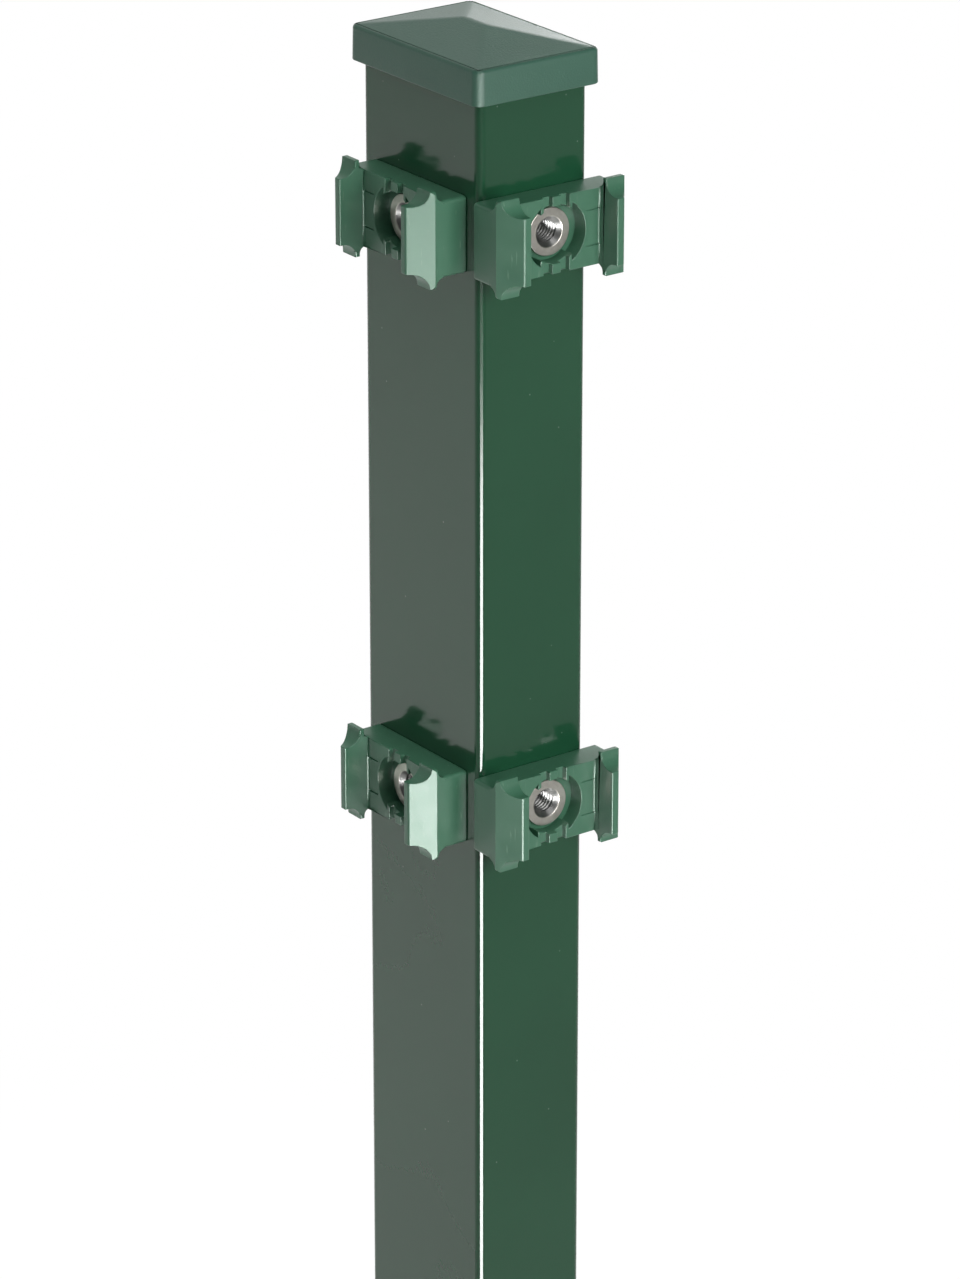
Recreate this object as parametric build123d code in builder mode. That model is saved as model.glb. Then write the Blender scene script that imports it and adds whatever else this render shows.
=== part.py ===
"""Corner fence post: a rectangular steel tube with a push-on cap, and two columns of moulded
panel holders, one up the wide face and one up the narrow face next to it. Each holder is
clamped to the tube by a blind rivet nut, whose M8 thread takes the screw of a mesh panel.

Millimetres. The origin is the middle of the tube's foot and +Z runs up the tube.
-Y is the wide face with holders, +X the narrow face with holders.
"""
from build123d import *
from math import radians, tan
import os

os.makedirs("parts", exist_ok=True)

# Tube
post_length = 1300.0
tube_width = 60.0
tube_depth = 40.0
tube_wall = 2.0
tube_corner = 2.5

# Rows of holders, counted from the top
row_count = 5
first_row_drop = 50.0
second_row_drop = 235.0
row_pitch = 250.0
wide_face_shift = 0.0
narrow_face_shift = 1.5

# Moulded panel holder: width runs across the post, depth runs out from the tube
holder_width = 47.3
block_height = 24.0
block_depth = 9.6
block_end_radius = 1.2
floor_depth = 4.2
recess_radius = 10.7

# Lands at the top and bottom of the recess, which guide the nut's flange, and their grooves
land_width = 11.6
land_gap = 1.5
groove_spacing = 6.3
groove_width = 3.1
groove_depth = 1.8
line_spacing = 11.2
line_width = 0.5
line_depth = 0.35

# Arms of the holder
arm_gap = 31.6
arm_root_depth = 11.4
arm_tip_depth = 18.5
arm_tip_thickness = 2.5
ear_span = 30.4
ear_back_depth = 11.0
ear_front_depth = 12.6
wire_seat_radius = 4.7
ear_root_radius = 2.4
ear_corner_radius = 1.5

# Blind rivet nut, M8
thread_radius = 3.4
countersink_radius = 4.9
shank_radius = 5.5
shank_clearance = 0.1
flange_radius = 7.5
flange_thickness = 1.6
bulb_radius = 7.0
bulb_length = 3.4
nut_tail = 9.5

# Cap
cap_wall = 2.7
cap_clearance = 0.3
cap_skirt_height = 11.0
cap_draft = 1.2
cap_seat_depth = 8.5
cap_corner = 3.2
cap_edge_radius = 1.2
cap_rim_step = 0.35
roof_rise = 4.6
ridge_length = 10.0
ridge_width = 0.8
roof_thickness = 2.0
plug_depth = 12.0
plug_wall = 1.8
plug_clearance = 1.0
plug_rib_width = 1.6
plug_rib_gap = 0.1

# Sizes that follow from the ones above
tube_inner_width = tube_width - 2 * tube_wall
tube_inner_depth = tube_depth - 2 * tube_wall
tube_inner_corner = max(tube_corner - tube_wall, 0.3)
half_holder = holder_width / 2
half_gap = arm_gap / 2
half_block = block_height / 2
half_ear = ear_span / 2
arm_tip_outside = half_gap + arm_tip_thickness
seat_bottom = half_ear - wire_seat_radius
root_start = ear_back_depth - ear_root_radius
nut_hole_radius = shank_radius + shank_clearance
land_radius = flange_radius + land_gap
line_length = half_gap - recess_radius


def face_plane(side, height):
    """Plane on a face of the tube at the given height, X across the post, Y up, Z outward."""
    if side == "wide":
        return Plane(origin=(wide_face_shift, -tube_depth / 2, height), x_dir=(1, 0, 0), z_dir=(0, -1, 0))
    return Plane(origin=(tube_width / 2, narrow_face_shift, height), x_dir=(0, 1, 0), z_dir=(1, 0, 0))


def placed(piece, name, seat):
    """A copy of a piece that was made in its own frame, set on its seat and written out."""
    with BuildPart() as copy:
        with Locations(seat):
            add(piece)
    copy.part.label = name
    export_step(copy.part, f"parts/{name}.step")


row_drops = [first_row_drop] + [second_row_drop + row_pitch * row for row in range(row_count - 1)]
seats = {}
for row, drop in enumerate(row_drops, start=1):
    for side in ("wide", "narrow"):
        seats[f"{side}_{row}"] = face_plane(side, post_length - drop)

# Post tube, open at the foot, with one hole for each rivet nut
with BuildPart() as post_tube:
    with BuildSketch():
        RectangleRounded(tube_width, tube_depth, tube_corner)
        RectangleRounded(tube_inner_width, tube_inner_depth, tube_inner_corner, mode=Mode.SUBTRACT)
    extrude(amount=post_length)
    for seat in seats.values():
        with Locations(seat):
            Hole(nut_hole_radius, depth=tube_depth / 4)
post_tube.part.label = "post_tube"
export_step(post_tube.part, "parts/post_tube.step")

# Post cap: skirt outside the tube, hipped roof with a short ridge, plug frame inside the tube
cap_width = tube_width + 2 * (cap_clearance + cap_wall)
cap_depth = tube_depth + 2 * (cap_clearance + cap_wall)
skirt_bottom = post_length - cap_seat_depth
rim_height = skirt_bottom + cap_skirt_height
draft_inset = cap_skirt_height * tan(radians(cap_draft))
rim_width = cap_width - 2 * draft_inset
rim_depth = cap_depth - 2 * draft_inset
roof_inset = cap_edge_radius + cap_rim_step
plug_width = tube_inner_width - 2 * plug_clearance
plug_length = tube_inner_depth - 2 * plug_clearance
plug_inner_width = plug_width - 2 * plug_wall
plug_inner_length = plug_length - 2 * plug_wall
rib_reach = plug_clearance - plug_rib_gap
with BuildPart() as post_cap:
    with BuildSketch(Plane.XY.offset(skirt_bottom)):
        RectangleRounded(cap_width, cap_depth, cap_corner)
    extrude(amount=cap_skirt_height, taper=cap_draft)
    fillet(post_cap.faces().sort_by(Axis.Z)[-1].edges(), cap_edge_radius)
    with BuildSketch(Plane.XY.offset(rim_height)):
        Rectangle(rim_width - 2 * cap_edge_radius, rim_depth - 2 * cap_edge_radius)
        Rectangle(rim_width - 2 * roof_inset, rim_depth - 2 * roof_inset, mode=Mode.SUBTRACT)
    extrude(amount=-cap_rim_step, mode=Mode.SUBTRACT)
    with BuildSketch(Plane.XY.offset(rim_height)):
        Rectangle(rim_width - 2 * roof_inset, rim_depth - 2 * roof_inset)
    with BuildSketch(Plane.XY.offset(rim_height + roof_rise)):
        Rectangle(ridge_length, ridge_width)
    loft(ruled=True)
    with BuildSketch(Plane.XY.offset(skirt_bottom)):
        RectangleRounded(tube_width + 2 * cap_clearance, tube_depth + 2 * cap_clearance, tube_corner)
    extrude(amount=cap_seat_depth, mode=Mode.SUBTRACT)
    with BuildSketch(Plane.XY.offset(post_length)):
        Rectangle(plug_inner_width, plug_inner_length)
    with BuildSketch(Plane.XY.offset(rim_height + roof_rise - roof_thickness)):
        Rectangle(ridge_length, ridge_width)
    loft(ruled=True, mode=Mode.SUBTRACT)
    with BuildSketch(Plane.XY.offset(post_length)):
        Rectangle(plug_width, plug_length)
        Rectangle(plug_inner_width, plug_inner_length, mode=Mode.SUBTRACT)
        with GridLocations(plug_width / 2, plug_length + rib_reach, 2, 2):
            Rectangle(plug_rib_width, rib_reach)
        with GridLocations(plug_width + rib_reach, plug_length / 2, 2, 2):
            Rectangle(rib_reach, plug_rib_width)
    extrude(amount=-plug_depth)
post_cap.part.label = "post_cap"
export_step(post_cap.part, "parts/post_cap.step")

# Panel holder in its own frame: X across the post, Y up, Z outward from the tube's face
side_view = Plane(origin=(0, 0, 0), x_dir=(0, 0, 1), z_dir=(-1, 0, 0))
top_view = Plane(origin=(0, 0, 0), x_dir=(1, 0, 0), z_dir=(0, -1, 0))
with BuildPart() as panel_holder:
    with BuildSketch(side_view):
        with BuildLine():
            ear = Line((root_start, 0), (root_start, half_block))
            root = RadiusArc(ear @ 1, (ear_back_depth, half_block + ear_root_radius), -ear_root_radius)
            tip = Polyline(root @ 1, (ear_back_depth, half_ear), (ear_front_depth, half_ear))
            seat_end = (ear_front_depth + wire_seat_radius, seat_bottom)
            hollow = RadiusArc(tip @ 1, seat_end, -wire_seat_radius)
            Polyline(hollow @ 1, (arm_tip_depth, seat_bottom), (arm_tip_depth, 0), ear @ 0)
        make_face()
        mirror(about=Plane.XZ)
    extrude(amount=half_holder, both=True)
    with BuildSketch(Plane.XY):
        Rectangle(arm_gap, ear_span)
    extrude(amount=arm_tip_depth, mode=Mode.SUBTRACT)
    with BuildSketch(top_view):
        with BuildLine():
            Polyline(
                (half_holder, arm_root_depth),
                (half_holder, arm_tip_depth),
                (arm_tip_outside, arm_tip_depth),
                close=True,
            )
        make_face()
        mirror(about=Plane.YZ)
    extrude(amount=half_ear, both=True, mode=Mode.SUBTRACT)
    with BuildSketch():
        RectangleRounded(holder_width, ear_span, ear_corner_radius)
    extrude(amount=arm_tip_depth, mode=Mode.INTERSECT)
    with BuildSketch():
        RectangleRounded(holder_width, block_height, block_end_radius)
    extrude(amount=block_depth)
    with BuildSketch(Plane.XY.offset(floor_depth)):
        Circle(recess_radius)
        Rectangle(land_width, block_height, mode=Mode.SUBTRACT)
        Circle(land_radius)
    extrude(amount=arm_tip_depth, mode=Mode.SUBTRACT)
    with BuildSketch(Plane.XY.offset(block_depth)):
        with GridLocations(arm_gap - line_length, line_spacing, 2, 2):
            Rectangle(line_length, line_width)
    extrude(amount=-line_depth, mode=Mode.SUBTRACT)
    with BuildSketch(Plane.XY.offset(block_depth)):
        with GridLocations(groove_spacing, 0, 2, 1):
            Rectangle(groove_width, block_height)
    extrude(amount=-groove_depth, mode=Mode.SUBTRACT)
    Hole(nut_hole_radius)

# Blind rivet nut in the holder's frame, turned about the holder's outward axis
nut_face = floor_depth + flange_thickness
countersink_depth = countersink_radius - thread_radius
barrel_end = -tube_wall - nut_tail
with BuildPart() as rivet_nut:
    with BuildSketch(Plane.XZ):
        with BuildLine():
            Polyline(
                (thread_radius, barrel_end),
                (thread_radius, nut_face - countersink_depth),
                (countersink_radius, nut_face),
                (flange_radius, nut_face),
                (flange_radius, floor_depth),
                (shank_radius, floor_depth),
                (shank_radius, -tube_wall),
                (bulb_radius, -tube_wall),
                (shank_radius, -tube_wall - bulb_length),
                (shank_radius, barrel_end),
                close=True,
            )
        make_face()
    revolve(axis=Axis.Z)

for seat_name, seat in seats.items():
    placed(panel_holder.part, f"panel_holder_{seat_name}", seat)
    placed(rivet_nut.part, f"rivet_nut_{seat_name}", seat)
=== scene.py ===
# %% [markdown]
# # Corner fence post
# A corner post for mesh fence panels: a powder coated steel tube, a moulded cap, and holders for the
# panels up two neighbouring faces, each clamped on by a blind rivet nut. The solid model comes in
# first and stays where it is. This lesson then gives every piece the surface that the real one has,
# and sets up the camera and the light of a product picture.

# %% Load the solid model
import bmesh
import bpy
from math import ceil, cos, degrees, pi, radians, sin
from mathutils import Matrix, Vector


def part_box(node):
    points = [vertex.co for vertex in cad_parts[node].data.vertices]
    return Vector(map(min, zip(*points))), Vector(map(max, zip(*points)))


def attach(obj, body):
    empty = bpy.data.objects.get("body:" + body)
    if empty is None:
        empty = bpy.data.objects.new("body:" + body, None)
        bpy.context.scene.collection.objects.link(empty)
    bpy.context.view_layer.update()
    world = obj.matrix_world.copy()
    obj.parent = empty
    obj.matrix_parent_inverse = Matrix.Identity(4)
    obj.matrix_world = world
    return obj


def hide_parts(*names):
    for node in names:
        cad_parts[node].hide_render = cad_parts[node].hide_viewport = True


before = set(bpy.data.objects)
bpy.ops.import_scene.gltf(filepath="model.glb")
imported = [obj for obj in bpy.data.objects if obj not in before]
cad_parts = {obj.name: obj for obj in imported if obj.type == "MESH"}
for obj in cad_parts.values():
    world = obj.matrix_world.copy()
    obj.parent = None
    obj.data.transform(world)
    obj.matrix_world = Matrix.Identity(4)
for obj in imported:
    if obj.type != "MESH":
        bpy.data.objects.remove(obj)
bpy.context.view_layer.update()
mm = 0.001

# %% [markdown]
# The camera stands to the right of the post's near corner and looks down on the cap through a long
# lens, so the post's upright lines draw together only a little. Its place comes from lining up the
# sizes of the solids with the picture: the tube's corners, the cap's skirt and the holders' arms.

# %% Camera
def level_direction(turn):
    """Level direction from the post: 0 degrees faces the wide side, 90 the narrow side."""
    return Vector((sin(radians(turn)), -cos(radians(turn)), 0.0))


camera_turn = 54.0
camera_dip = 21.91
camera_data = bpy.data.cameras.new("picture_camera")
camera_data.sensor_fit = "VERTICAL"
camera_data.sensor_height = 36.0
camera_data.lens = 158.5
camera_data.clip_start = 0.05
camera_data.clip_end = 60.0
camera = bpy.data.objects.new("picture_camera", camera_data)
bpy.context.scene.collection.objects.link(camera)
camera.location = (1.3158, -0.9539, 1.7618)
look = -level_direction(camera_turn) * cos(radians(camera_dip)) - Vector((0, 0, sin(radians(camera_dip))))
camera.rotation_euler = look.to_track_quat("-Z", "Y").to_euler()
bpy.context.scene.camera = camera
print("camera looks along", [round(value, 3) for value in look])

# %% [markdown]
# Colours are read off as sRGB hex values, which is how screens and paint charts give them, but
# Cycles mixes light in linear values. One function turns the one into the other. A second small
# function adds a node, sets it and links it, so each material below reads as a list of its layers.

# %% Colour and nodes
def linear(hex_colour):
    """sRGB hex such as #1b4a31 as a linear colour with alpha."""
    parts = [int(hex_colour[at:at + 2], 16) / 255 for at in (1, 3, 5)]
    return [part / 12.92 if part <= 0.04045 else ((part + 0.055) / 1.055) ** 2.4 for part in parts] + [1.0]


def add_node(tree, kind, inputs={}, **settings):
    """Adds a node. inputs gives sockets a value or a link from another node's output."""
    node = tree.nodes.new(kind)
    for name, value in settings.items():
        setattr(node, name, value)
    for name, value in inputs.items():
        socket = node.inputs[name]
        if isinstance(value, bpy.types.NodeSocket):
            tree.links.new(value, socket)
        else:
            socket.default_value = value
    return node


def per_metre(size_mm):
    """Texture scale that repeats a pattern every size_mm of the real surface."""
    return 1 / (size_mm * mm)


def new_finish(name):
    """An empty material, and the point on the surface that its patterns are drawn from."""
    finish = bpy.data.materials.new(name)
    finish.use_nodes = True
    tree = finish.node_tree
    tree.nodes.clear()
    place = add_node(tree, "ShaderNodeTexCoord").outputs["Object"]
    return finish, tree, place


def finish_surface(tree, shader_inputs):
    """Closes a material with one Principled shader."""
    shader = add_node(tree, "ShaderNodeBsdfPrincipled", shader_inputs)
    add_node(tree, "ShaderNodeOutputMaterial", {"Surface": shader.outputs["BSDF"]})


print("moss green, linear:", [round(part, 3) for part in linear("#1b4a31")])

# %% [markdown]
# The picture was taken on seamless white paper. A large flat sheet does the same here: from this
# height the camera sees nothing but paper behind the post. It is matt, with a trace of fibre, and a
# metre or two out it runs into the white of the room, so that no edge shows from a lower viewpoint.

# %% Paper floor
# Distances from the post's foot, in metres, between which the paper runs into the white of the room.
paper_fades_from, paper_fades_to = 0.6, 2.0


def paper_finish():
    """Matt white paper: no gloss to speak of, a faint mottle of fibres, and only far out pure white."""
    finish, tree, place = new_finish("seamless_paper")
    mottle = add_node(tree, "ShaderNodeTexNoise", {"Vector": place, "Scale": per_metre(8.0),
                                                   "Detail": 3.0})
    shade = add_node(tree, "ShaderNodeMix", {"Factor": mottle.outputs["Fac"], "A": linear("#f4f4f3"),
                                             "B": linear("#f7f7f6")}, data_type="RGBA")
    paper = add_node(tree, "ShaderNodeBsdfPrincipled", {"Base Color": shade.outputs["Result"],
                                                        "Roughness": 0.9, "Specular IOR Level": 0.1})
    from_post = add_node(tree, "ShaderNodeVectorMath", {0: place}, operation="LENGTH")
    far_out = add_node(tree, "ShaderNodeMapRange", {"Value": from_post.outputs["Value"],
                                                    "From Min": paper_fades_from,
                                                    "From Max": paper_fades_to},
                       interpolation_type="SMOOTHSTEP")
    seen = add_node(tree, "ShaderNodeLightPath")
    fade = add_node(tree, "ShaderNodeMath", {0: far_out.outputs["Result"],
                                             1: seen.outputs["Is Camera Ray"]}, operation="MULTIPLY")
    room_white = add_node(tree, "ShaderNodeEmission", {"Color": linear("#ffffff"), "Strength": 1.0})
    sweep = add_node(tree, "ShaderNodeMixShader", {0: fade.outputs["Value"], 1: paper.outputs["BSDF"],
                                                   2: room_white.outputs["Emission"]})
    add_node(tree, "ShaderNodeOutputMaterial", {"Surface": sweep.outputs[0]})
    return finish


paper_reach = 12.0
paper_mesh = bpy.data.meshes.new("paper_floor")
paper_corners = [(-paper_reach, -paper_reach, 0), (paper_reach, -paper_reach, 0),
                 (paper_reach, paper_reach, 0), (-paper_reach, paper_reach, 0)]
paper_mesh.from_pydata(paper_corners, [], [(0, 1, 2, 3)])
paper_mesh.materials.append(paper_finish())
paper_floor = bpy.data.objects.new("paper_floor", paper_mesh)
bpy.context.scene.collection.objects.link(paper_floor)
print("paper floor is", 2 * paper_reach, "m across")

# %% [markdown]
# The light is soft, from large boxes. What each face of the post mirrors decides how it looks: the
# wide face mirrors bright paper to its left and turns grey, the narrow face mirrors dim paper and
# stays green under the key light on its side. A low box under the camera, a little to the right,
# draws the white line down the rounded corner and the glare on the arms of the holders. A box far
# behind the post shows only as a glow on the cap's roof. Three washes, not mirrored, light the paper.

# %% Light
def softbox(name, place, aim, width, height, radiance, mirrored=True, lights_up=True):
    """A soft light of that radiance, 1 being the light that white paper sends back in full light."""
    lamp = bpy.data.lights.new(name, "AREA")
    lamp.shape = "RECTANGLE"
    lamp.size = width
    lamp.size_y = height
    lamp.energy = radiance * pi * width * height
    box = bpy.data.objects.new(name, lamp)
    bpy.context.scene.collection.objects.link(box)
    box.location = place
    box.rotation_euler = (Vector(aim) - Vector(place)).to_track_quat("-Z", "Y").to_euler()
    box.visible_camera = False
    box.visible_glossy = mirrored
    box.visible_diffuse = lights_up
    print(name, "at", [round(value, 2) for value in place], "energy", round(lamp.energy, 1))


def at(turn, reach, height):
    """A point that far from the post in a level direction, at a height."""
    return level_direction(turn) * reach + Vector((0, 0, height))


# Most lights aim at the stretch of the post that the picture shows.
shown_middle = Vector((0, 0, 1.1))
cap_top = Vector((0, 0, 1.31))
behind = camera_turn + 180
softbox("low_front_box", at(61, 1.25, 0.47), shown_middle, 0.85, 0.5, 26.0, lights_up=False)
softbox("side_key_box", at(88, 1.5, 1.5), shown_middle, 1.0, 0.9, 7.6)
softbox("overhead_box", at(70, 0.8, 3.0), shown_middle, 1.2, 1.2, 2.2)
softbox("back_glow_box", at(219, 3.0, 1.68), cap_top, 0.9, 0.5, 13.0, lights_up=False)
softbox("background_wash", at(behind, 3.8, 2.6), at(behind, 3.8, 0), 4.5, 4.0, 2.6, mirrored=False)
softbox("left_paper_wash", at(-54, 3.2, 2.6), at(-54, 3.2, 0), 2.6, 2.4, 3.0, mirrored=False)
softbox("right_paper_wash", at(126, 3.9, 2.4), at(126, 3.9, 0), 2.0, 2.0, 1.6, mirrored=False)

# The room is a white wall behind the post and to its left, brightest at its foot, and dim elsewhere.
# Seen straight, it is as white as the paper.
wall_way = level_direction(250) - Vector((0, 0, 0.7))
world = bpy.data.worlds.new("studio_room")
world.use_nodes = True
room = world.node_tree
room.nodes.clear()
way = add_node(room, "ShaderNodeTexCoord").outputs["Generated"]
towards_wall = add_node(room, "ShaderNodeVectorMath", {0: way, 1: wall_way}, operation="DOT_PRODUCT")
dim_wall, bright_wall = 0.1, 0.95
wall_light = add_node(room, "ShaderNodeMapRange", {"Value": towards_wall.outputs["Value"],
                                                   "From Min": 0.0, "From Max": 1.0,
                                                   "To Min": dim_wall, "To Max": bright_wall})
white = linear("#ffffff")
room_light = add_node(room, "ShaderNodeBackground", {"Color": white,
                                                     "Strength": wall_light.outputs["Result"]})
room_seen = add_node(room, "ShaderNodeBackground", {"Color": white, "Strength": 1.0})
ray_kind = add_node(room, "ShaderNodeLightPath")
room_mix = add_node(room, "ShaderNodeMixShader", {0: ray_kind.outputs["Is Camera Ray"],
                                                  1: room_light.outputs[0], 2: room_seen.outputs[0]})
add_node(room, "ShaderNodeOutputWorld", {"Surface": room_mix.outputs[0]})
bpy.context.scene.world = world
bpy.context.scene.view_settings.view_transform = "Standard"

# %% [markdown]
# The tube is galvanised steel with a baked powder coat in moss green. The powder melts and flows
# out, so it is glossy with a faint orange peel, and the odd grain of dust is baked in. The solid's
# own shape is right, so it stays and only takes the finish.

# %% Powder coated tube
def powder_coat_finish():
    """Glossy baked polyester powder: sharp reflections, waves of orange peel, rare pale specks."""
    finish, tree, place = new_finish("powder_coat_moss_green")
    drift = add_node(tree, "ShaderNodeTexNoise", {"Vector": place, "Scale": per_metre(60.0), "Detail": 2.0})
    paint = add_node(tree, "ShaderNodeMix", {"Factor": drift.outputs["Fac"], "A": linear("#16402a"),
                                             "B": linear("#1b4a31")}, data_type="RGBA")
    # Dust grains are about 0.3 mm, one in some cells of 8 mm: a Voronoi point that lies that near the
    # surface shows as a speck.
    grains = add_node(tree, "ShaderNodeTexVoronoi", {"Vector": place, "Scale": per_metre(8.0)})
    speck = add_node(tree, "ShaderNodeMapRange", {"Value": grains.outputs["Distance"], "From Min": 0.015,
                                                  "From Max": 0.04, "To Min": 0.6, "To Max": 0.0})
    coat = add_node(tree, "ShaderNodeMix", {"Factor": speck.outputs["Result"], "A": paint.outputs["Result"],
                                            "B": linear("#6d8576")}, data_type="RGBA")
    peel = add_node(tree, "ShaderNodeTexNoise", {"Vector": place, "Scale": per_metre(2.6), "Detail": 1.5})
    relief = add_node(tree, "ShaderNodeMath", {0: speck.outputs["Result"], 1: 2.0, 2: peel.outputs["Fac"]},
                      operation="MULTIPLY_ADD")
    bump = add_node(tree, "ShaderNodeBump", {"Height": relief.outputs["Value"], "Distance": 0.004 * mm,
                                             "Strength": 1.0})
    haze = add_node(tree, "ShaderNodeTexNoise", {"Vector": place, "Scale": per_metre(1.1), "Detail": 2.0})
    gloss = add_node(tree, "ShaderNodeMapRange", {"Value": haze.outputs["Fac"],
                                                  "To Min": 0.08, "To Max": 0.16})
    finish_surface(tree, {"Base Color": coat.outputs["Result"], "Roughness": gloss.outputs["Result"],
                          "IOR": 1.52, "Normal": bump.outputs["Normal"]})
    return finish


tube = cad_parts["post_tube"]
tube.material_slots[0].material = powder_coat_finish()
tube_low, tube_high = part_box("post_tube")
print("tube is", [round((high - low) / mm, 2) for low, high in zip(tube_low, tube_high)], "mm")

# %% [markdown]
# No moulding has knife edges: the tool leaves a small radius on every one, and that radius catches
# the light as a thin bright line. The solids have crisp edges, so the cap and the holders get a
# softened copy. The copy joins the solid's triangles into whole faces again, then bevels each hard
# edge by a fraction of a millimetre, and by less where a groove or step beside it is narrower.

# %% Soft edges
weld_distance = 0.001 * mm
flat_within = radians(0.6)
hard_turn = 32  # degrees: where a surface turns less than this over an edge, it is shaded smooth
share_of_room = 0.4  # of the narrower face beside an edge that its rounding may take up


def whole_faces(node_name, middle=(0, 0, 0)):
    """A CAD piece's surface as welded whole faces, moved so that middle lies at the origin."""
    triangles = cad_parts[node_name].data
    plain = bpy.data.meshes.new(node_name + "_faces")
    plain.from_pydata([vertex.co - Vector(middle) for vertex in triangles.vertices], [],
                      [face.vertices[:] for face in triangles.polygons])
    surface = bmesh.new()
    surface.from_mesh(plain)
    bpy.data.meshes.remove(plain)
    bmesh.ops.remove_doubles(surface, verts=surface.verts, dist=weld_distance)
    bmesh.ops.dissolve_limit(surface, angle_limit=flat_within, verts=surface.verts, edges=surface.edges)
    return surface


def room_beside(edge):
    """How far the narrower of an edge's two faces reaches from it."""
    start = edge.verts[0].co
    along = (edge.verts[1].co - start).normalized()
    return min(max((vertex.co - start).cross(along).length for vertex in face.verts)
               for face in edge.link_faces)


def outward_turn(edge):
    """The angle in degrees by which the surface turns outward over an edge, 0 or less in a hollow."""
    return degrees(edge.calc_face_angle_signed()) if len(edge.link_faces) == 2 else 0.0


def softened(surface, name, radius_of):
    """A mesh of the surface, each edge rounded by radius_of(edge), or by less where that has no room."""
    weight = surface.edges.layers.float.new("bevel_weight_edge")
    wanted = {edge: radius_of(edge) for edge in surface.edges}
    radii = {edge: min(radius, share_of_room * room_beside(edge))
             for edge, radius in wanted.items() if radius > 0}
    widest = max(radii.values())
    for edge, radius in radii.items():
        edge[weight] = radius / widest
    for face in surface.faces:
        face.smooth = True
    for edge in surface.edges:
        edge.smooth = edge in radii or abs(outward_turn(edge)) < hard_turn
    mesh = bpy.data.meshes.new(name)
    surface.to_mesh(mesh)
    surface.free()
    draft = bpy.data.objects.new(name, mesh)
    bpy.context.scene.collection.objects.link(draft)
    bevel = draft.modifiers.new("soft_edges", "BEVEL")
    bevel.width = widest
    bevel.segments = 3
    bevel.limit_method = "WEIGHT"
    bevel.use_clamp_overlap = False
    bevel.harden_normals = True
    evaluated = draft.evaluated_get(bpy.context.evaluated_depsgraph_get())
    rounded = bpy.data.meshes.new_from_object(evaluated)
    rounded.name = name
    bpy.data.objects.remove(draft)
    bpy.data.meshes.remove(mesh)
    print(name, "has", len(radii), "soft edges and", len(rounded.polygons), "faces")
    return rounded


def add_piece(name, mesh, finish, node_name, seat=Matrix()):
    """Shows a mesh on its seat in place of a CAD node."""
    piece = bpy.data.objects.new(name, mesh)
    bpy.context.scene.collection.objects.link(piece)
    piece.matrix_world = seat
    if not mesh.materials:
        mesh.materials.append(finish)
    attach(piece, "root")
    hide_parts(node_name)
    return piece


# %% [markdown]
# The cap is injection moulded, probably polyamide, in a tool with a spark-eroded skin: that gives the
# satin a fine even grain. Its four roof faces meet in soft hips, so the narrow flat ridge of the
# solid is drawn together to a line, and the hips get a wider radius than the other edges.

# %% Moulded cap
def cap_finish():
    """Satin moulded plastic with a spark-eroded grain of about 0.3 mm, drawn at 0.6 mm to show."""
    finish, tree, place = new_finish("cap_polyamide_moss_green")
    drift = add_node(tree, "ShaderNodeTexNoise", {"Vector": place, "Scale": per_metre(9.0), "Detail": 4.0})
    pigment = add_node(tree, "ShaderNodeMix", {"Factor": drift.outputs["Fac"], "A": linear("#335849"),
                                               "B": linear("#3a5f50")}, data_type="RGBA")
    grain = add_node(tree, "ShaderNodeTexNoise", {"Vector": place, "Scale": per_metre(0.6), "Detail": 3.0,
                                                  "Roughness": 0.6})
    bump = add_node(tree, "ShaderNodeBump", {"Height": grain.outputs["Fac"], "Distance": 0.09 * mm,
                                             "Strength": 1.0})
    satin = add_node(tree, "ShaderNodeMapRange", {"Value": grain.outputs["Fac"],
                                                  "To Min": 0.27, "To Max": 0.43})
    finish_surface(tree, {"Base Color": pigment.outputs["Result"], "Roughness": satin.outputs["Result"],
                          "IOR": 1.53, "Normal": bump.outputs["Normal"]})
    return finish


just_under_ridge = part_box("post_cap")[1].z - 0.1 * mm
cap_surface = whole_faces("post_cap")
for side in (-1, 1):
    ridge_end = [vertex for vertex in cap_surface.verts
                 if vertex.co.z > just_under_ridge and vertex.co.x * side > 0]
    middle = sum((vertex.co for vertex in ridge_end), Vector()) / len(ridge_end)
    bmesh.ops.pointmerge(cap_surface, verts=ridge_end, merge_co=middle)
    print("ridge end", side, "joins", len(ridge_end), "corners")


hip_radius, cap_corner_radius = 1.3 * mm, 0.3 * mm
roof_slope_area = 50 * mm * mm


def cap_edge_radius(edge):
    """Wide on the roof's hips and ridge, small on every other outward edge."""
    turn = outward_turn(edge)
    slopes = [face for face in edge.link_faces
              if face.normal.z > 0.9 and face.calc_area() > roof_slope_area]
    if len(slopes) == 2 and turn > 8:
        return hip_radius
    return cap_corner_radius if turn > hard_turn else 0.0


cap_mesh = softened(cap_surface, "moulded_cap", cap_edge_radius)
add_piece("moulded_cap", cap_mesh, cap_finish(), "post_cap")

# %% [markdown]
# The panel holders are moulded too, in a harder glass-filled polyamide with a smoother skin. It has
# a satin shine with faint flow marks along the arms, and fine pale scuffs from handling. All ten
# are the same moulding, so one softened mesh serves them all, each on its own seat.

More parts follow.
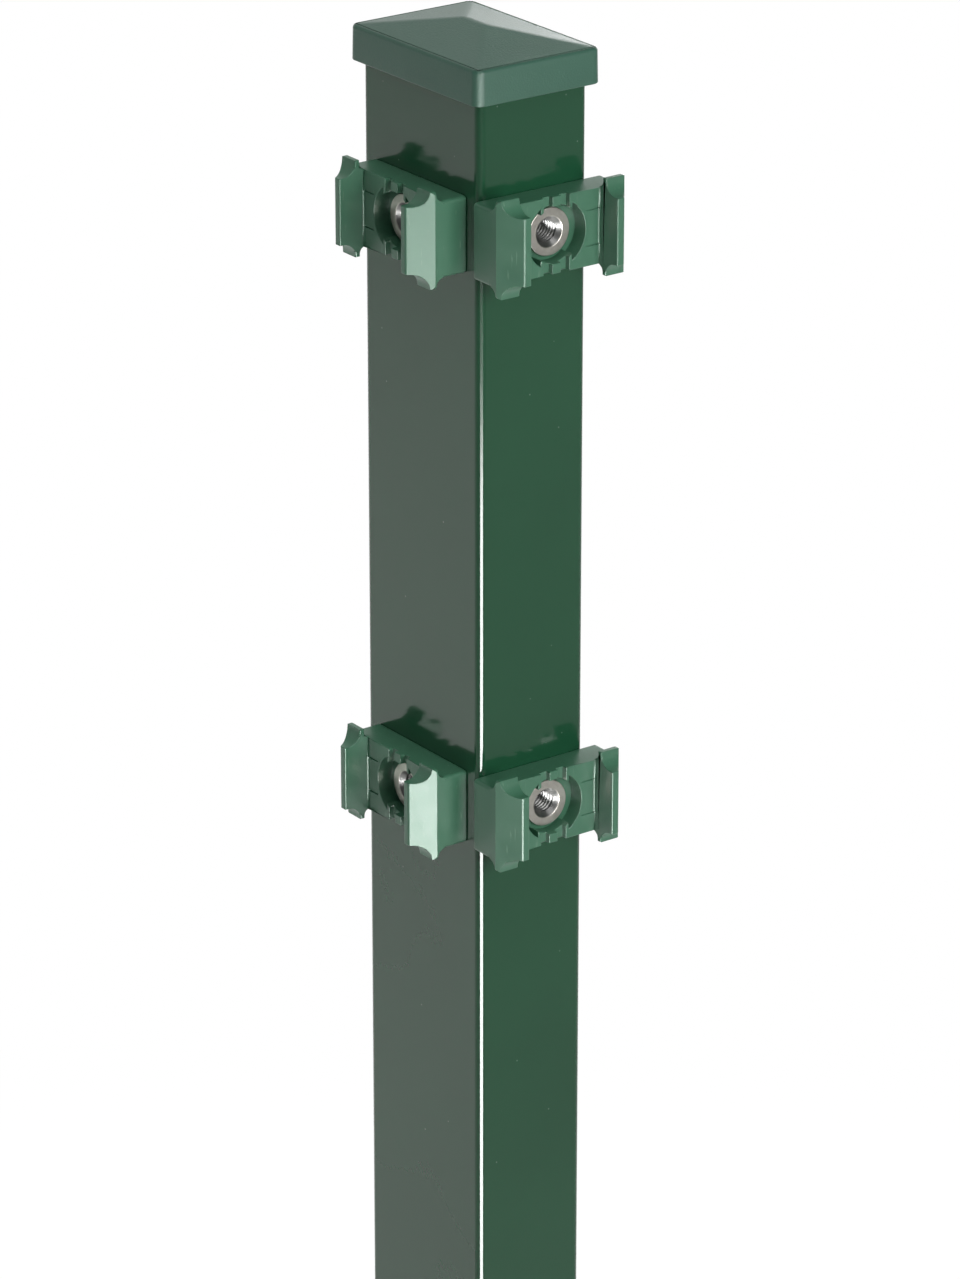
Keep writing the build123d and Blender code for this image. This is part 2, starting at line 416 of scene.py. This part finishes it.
# %% Moulded panel holders
def holder_finish():
    """Smooth satin polyamide: broad soft highlights, faint flow marks, fine pale scuffs."""
    finish, tree, place = new_finish("holder_polyamide_green")
    flow = add_node(tree, "ShaderNodeTexNoise", {"Vector": place, "Scale": per_metre(6.0), "Detail": 5.0,
                                                 "Distortion": 0.6})
    pigment = add_node(tree, "ShaderNodeMix", {"Factor": flow.outputs["Fac"], "A": linear("#38654e"),
                                               "B": linear("#3f6d55")}, data_type="RGBA")
    # Scuffs are long and thin, so their noise is drawn out eight times along one tilted line.
    stretched = add_node(tree, "ShaderNodeMapping", {"Vector": place, "Rotation": (0.3, 0.5, 0.2),
                                                     "Scale": (1.0, 1.0, 0.12)})
    scratches = add_node(tree, "ShaderNodeTexNoise", {"Vector": stretched.outputs["Vector"],
                                                      "Scale": per_metre(0.9), "Detail": 4.0})
    scuff = add_node(tree, "ShaderNodeMapRange", {"Value": scratches.outputs["Fac"], "From Min": 0.66,
                                                  "From Max": 0.8, "To Min": 0.0, "To Max": 0.5})
    skin = add_node(tree, "ShaderNodeMix", {"Factor": scuff.outputs["Result"],
                                            "A": pigment.outputs["Result"],
                                            "B": linear("#7fa08c")}, data_type="RGBA")
    # The fibres lie closer together than this, but finer ones would not show in a picture.
    fibre = add_node(tree, "ShaderNodeTexNoise", {"Vector": place, "Scale": per_metre(0.7), "Detail": 3.0})
    bump = add_node(tree, "ShaderNodeBump", {"Height": fibre.outputs["Fac"], "Distance": 0.018 * mm,
                                             "Strength": 1.0})
    satin = add_node(tree, "ShaderNodeMapRange", {"Value": flow.outputs["Fac"],
                                                  "To Min": 0.28, "To Max": 0.42})
    finish_surface(tree, {"Base Color": skin.outputs["Result"], "Roughness": satin.outputs["Result"],
                          "IOR": 1.54, "Normal": bump.outputs["Normal"]})
    return finish


def seat_on_post(node_name):
    """Where a holder meets the tube: its middle on the wide face, or turned onto the narrow face."""
    low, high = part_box(node_name)
    middle = (low + high) / 2
    if "wide" in node_name:
        return Matrix.Translation((middle.x, high.y, middle.z))
    return Matrix.Translation((low.x, middle.y, middle.z)) @ Matrix.Rotation(pi / 2, 4, "Z")


holder_names = sorted(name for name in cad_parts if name.startswith("panel_holder"))
first_holder = "panel_holder_wide_1"
holder_surface = whole_faces(first_holder, seat_on_post(first_holder).translation)
# Lines just inside the arms' tips and just inside the rounded ends of the block.
tip_line = min(vertex.co.y for vertex in holder_surface.verts) + 0.05 * mm
end_line = max(vertex.co.x for vertex in holder_surface.verts) - 1.3 * mm
# The arms' inner faces lie this far from the middle, the arms stand out further than arm_start, and
# the ears begin at this height over or under the middle.
arm_inner_face, arm_start, ear_start = 15.8 * mm, 9.0 * mm, 12.4 * mm
arm_root_radius, arm_tip_radius = 0.6 * mm, 0.5 * mm
ear_corner_radius, small_radius = 0.12 * mm, 0.22 * mm


def past(point, across, up):
    """Whether a point is farther than this from the holder's middle, in mm sideways and up or down."""
    return abs(point.x) > across * mm and abs(point.z) > up * mm


def holder_edge_radius(edge):
    """Wide where the arms meet the plate, on the arms' tips and ears and the block's ends, else small.

    The ears' outer corners are round in the solid already, in steps too short to bevel.
    """
    ends = [vertex.co for vertex in edge.verts]
    turn = outward_turn(edge)
    upright = abs(ends[0].z - ends[1].z) > 10 * mm
    inside_arm = all(abs(abs(end.x) - arm_inner_face) < 0.02 * mm and end.y < -arm_start
                     for end in ends)
    if turn < -hard_turn and inside_arm and ends[0].y > tip_line + 5 * mm:
        return arm_root_radius
    if turn < 45 or all(past(end, 22.0, 13.6) for end in ends):
        return 0.0
    if any(past(end, 21.9, 12.3) for end in ends):
        return ear_corner_radius
    at_tip = upright and all(end.y < tip_line for end in ends)
    on_ear = all(abs(end.z) > ear_start for end in ends)
    at_end = all(abs(end.x) > end_line for end in ends)
    return arm_tip_radius if at_tip or on_ear or at_end else small_radius


holder_mesh = softened(holder_surface, "moulded_holder", holder_edge_radius)
holder_green = holder_finish()
for name in holder_names:
    add_piece(name.replace("panel_holder", "moulded_holder"), holder_mesh, holder_green,
              name, seat_on_post(name))
print(len(holder_names), "holders share one mesh")

# %% [markdown]
# A blind rivet nut is turned from steel and zinc plated. It shows as a bright ring with a
# countersunk mouth, and inside it the M8 thread glints in turns 1.25 mm apart. The thread is real
# geometry here: rows of points wind down the bore along the corners of a right-hand thread.

# %% Turned rivet nuts
def zinc_finish():
    """Zinc plated steel: light grey, a little warm, turned rings, pits of plating, painted shade in the
    bore.
    """
    finish, tree, place = new_finish("zinc_plated_steel")
    tarnish = add_node(tree, "ShaderNodeTexNoise", {"Vector": place, "Scale": per_metre(1.4),
                                                    "Detail": 5.0})
    zinc = add_node(tree, "ShaderNodeMix", {"Factor": tarnish.outputs["Fac"], "A": linear("#a3a098"),
                                            "B": linear("#bfbcb5")}, data_type="RGBA")
    # Painted shade: a dark grey is mixed into the zinc from the bore out to its mouth's rim, 4.9 mm from
    # the axis, standing in for the shade deep in the thread.
    across = add_node(tree, "ShaderNodeVectorMath", {0: place, 1: (1.0, 0.0, 1.0)}, operation="MULTIPLY")
    from_axis = add_node(tree, "ShaderNodeVectorMath", {0: across.outputs["Vector"]}, operation="LENGTH")
    painted_bore_shade = add_node(tree, "ShaderNodeMapRange", {"Value": from_axis.outputs["Value"], "From Min": 4.6 * mm,
                                                "From Max": 4.9 * mm, "To Min": 0.75, "To Max": 0.0})
    metal = add_node(tree, "ShaderNodeMix", {"Factor": painted_bore_shade.outputs["Result"], "A": zinc.outputs["Result"],
                                             "B": linear("#6c6e70")}, data_type="RGBA")
    # A wave repeats 3.2 times over the length of its scale, so the turned rings lie 0.28 mm apart.
    ring_scale = per_metre(0.45) / 2
    rings = add_node(tree, "ShaderNodeTexWave", {"Vector": place, "Scale": ring_scale, "Distortion": 1.0},
                     wave_type="RINGS", rings_direction="Y")
    # Pits of plating are finer than this, but would not show in a picture.
    pits = add_node(tree, "ShaderNodeTexNoise", {"Vector": place, "Scale": per_metre(0.5), "Detail": 3.0})
    relief = add_node(tree, "ShaderNodeMath", {0: rings.outputs["Fac"], 1: 0.4, 2: pits.outputs["Fac"]},
                      operation="MULTIPLY_ADD")
    bump = add_node(tree, "ShaderNodeBump", {"Height": relief.outputs["Value"], "Distance": 0.02 * mm,
                                             "Strength": 1.0})
    polish = add_node(tree, "ShaderNodeMapRange", {"Value": tarnish.outputs["Fac"],
                                                   "To Min": 0.28, "To Max": 0.4})
    finish_surface(tree, {"Base Color": metal.outputs["Result"], "Metallic": 1.0,
                          "Roughness": polish.outputs["Result"], "Normal": bump.outputs["Normal"]})
    return finish


def turned_nut(name):
    """The nut about the Y axis, its flange towards -Y and the tube's face at the origin."""
    pitch, crest, thread_depth = 1.25, 3.4, 0.5
    mouth_end, tail_end, around = 4.3, -11.5, 64
    # The outside's corners as distance from the axis and from the tube's face: barrel, bulb, shank,
    # flange and the rim of the countersunk mouth.
    outside = [(5.5, tail_end), (5.5, -5.4), (7.0, -2.0), (5.5, -2.0), (5.5, 4.2), (7.5, 4.2),
               (7.5, 5.8), (4.9, 5.8)]
    # One turn of the thread: how far along the pitch each of its corners lies, and how deep it is cut.
    thread_corners = [(0.0, 0.0), (0.25, 0.0), (0.56, 1.0), (0.69, 1.0)]
    fade_out = 0.6 * pitch  # the length over which the thread runs out at the mouth and the tail
    turns = ceil((mouth_end - tail_end) / pitch) + 1
    last_row = turns * len(thread_corners)
    surface = bmesh.new()

    def ring_point(radius, out, step):
        angle = -2 * pi * step / around
        return surface.verts.new((radius * mm * cos(angle), -out * mm, radius * mm * sin(angle)))

    def bore_point(row, step):
        turn, corner = divmod(row, len(thread_corners))
        along, cut = thread_corners[corner]
        out = mouth_end + pitch * (1 - turn - along - step / around)
        cut *= min(1.0, max(0.0, min(mouth_end - out, out - tail_end) / fade_out))
        return ring_point(crest + thread_depth * cut, min(mouth_end, max(tail_end, out)), step)

    # Each row of the bore winds on into the row one turn further in, so it ends on that row's first point.
    bore = [[bore_point(row, step) for step in range(around)] for row in range(last_row + 1)]
    bore = [row + [bore[min(index + len(thread_corners), last_row)][0]] for index, row in enumerate(bore)]
    shell = [[ring_point(radius, out, step) for step in range(around)] for radius, out in outside]
    rows = bore + [[*ring, ring[0]] for ring in shell] + [bore[0]]
    for row, following in zip(rows, rows[1:]):
        for step in range(around):
            corners = dict.fromkeys((row[step], row[step + 1], following[step + 1], following[step]))
            if len(corners) > 2:
                surface.faces.new(corners)
    bmesh.ops.remove_doubles(surface, verts=surface.verts, dist=weld_distance)
    bmesh.ops.recalc_face_normals(surface, faces=surface.faces)
    bore_reach = (crest + thread_depth) * mm * 1.02

    def nut_edge_radius(edge):
        in_bore = all(Vector((vertex.co.x, vertex.co.z)).length < bore_reach for vertex in edge.verts)
        return 0.2 * mm if outward_turn(edge) > hard_turn and not in_bore else 0.0

    return softened(surface, name, nut_edge_radius)


nut_names = sorted(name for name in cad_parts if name.startswith("rivet_nut"))
nut_mesh = turned_nut("turned_nut")
zinc = zinc_finish()
for name in nut_names:
    seat = seat_on_post(name.replace("rivet_nut", "panel_holder"))
    add_piece(name.replace("rivet_nut", "turned_nut"), nut_mesh, zinc, name, seat)
print(len(nut_names), "nuts share one mesh")
